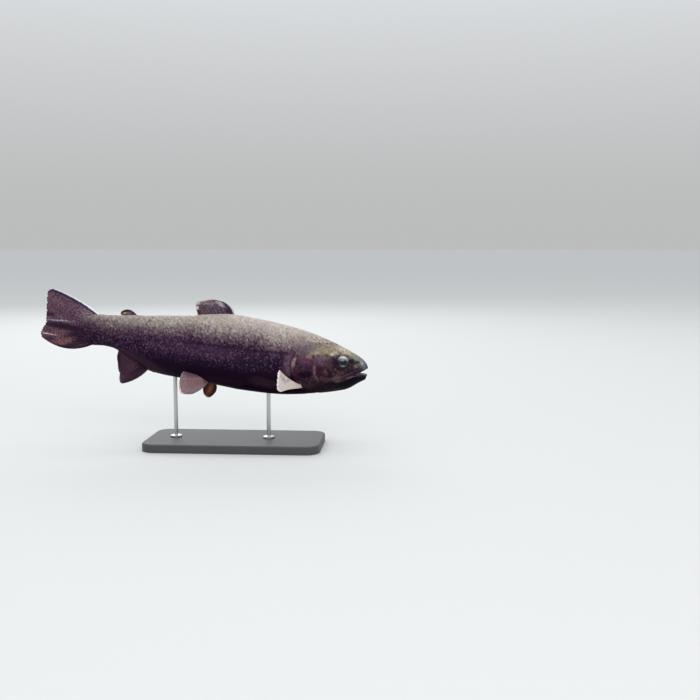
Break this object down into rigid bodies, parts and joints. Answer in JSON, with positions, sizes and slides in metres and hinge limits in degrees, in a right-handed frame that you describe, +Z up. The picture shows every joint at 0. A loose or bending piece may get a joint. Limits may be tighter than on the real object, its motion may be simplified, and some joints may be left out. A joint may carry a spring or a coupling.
{
  "type": "rainbow trout",
  "caption": "Life-size still model of a swimming adult trout, mouth slightly open and fins spread, held by two short rods on a plain flat base.",
  "frame": {"origin": "centre of the stand base's underside, on the floor", "axes": "+X towards the fish's head, +Y to the fish's left, +Z up"},
  "size_m": [0.4966, 0.125, 0.2321],
  "materials": {
    "skin": "satin, as wet scaled skin",
    "gill_cover": "satin",
    "upper_jaw_plate": "satin",
    "lower_jaw": "satin",
    "eye": "polished",
    "dorsal_fin": "satin",
    "adipose_fin": "satin",
    "caudal_fin": "satin",
    "anal_fin": "satin",
    "pelvic_fin": "satin",
    "pectoral_fin": "satin",
    "stand_base": "painted, matt",
    "stand_rod": "brushed"
  },
  "bodies": {
    "root": {"head": "skin", "lower_jaw": "lower_jaw", "upper_jaw_plate_right": "upper_jaw_plate", "upper_jaw_plate_left": "upper_jaw_plate", "gill_cover_right": "gill_cover", "gill_cover_left": "gill_cover", "eye_right": "eye", "eye_left": "eye", "trunk_front": "skin", "trunk_rear": "skin", "tail_stem": "skin", "dorsal_fin": "dorsal_fin", "adipose_fin": "adipose_fin", "caudal_fin": "caudal_fin", "anal_fin": "anal_fin", "pelvic_fin_right": "pelvic_fin", "pelvic_fin_left": "pelvic_fin", "pectoral_fin_right": "pectoral_fin", "pectoral_fin_left": "pectoral_fin", "stand_base": "stand_base", "stand_rod_front": "stand_rod", "stand_rod_rear": "stand_rod"}
  },
  "joints": []
}
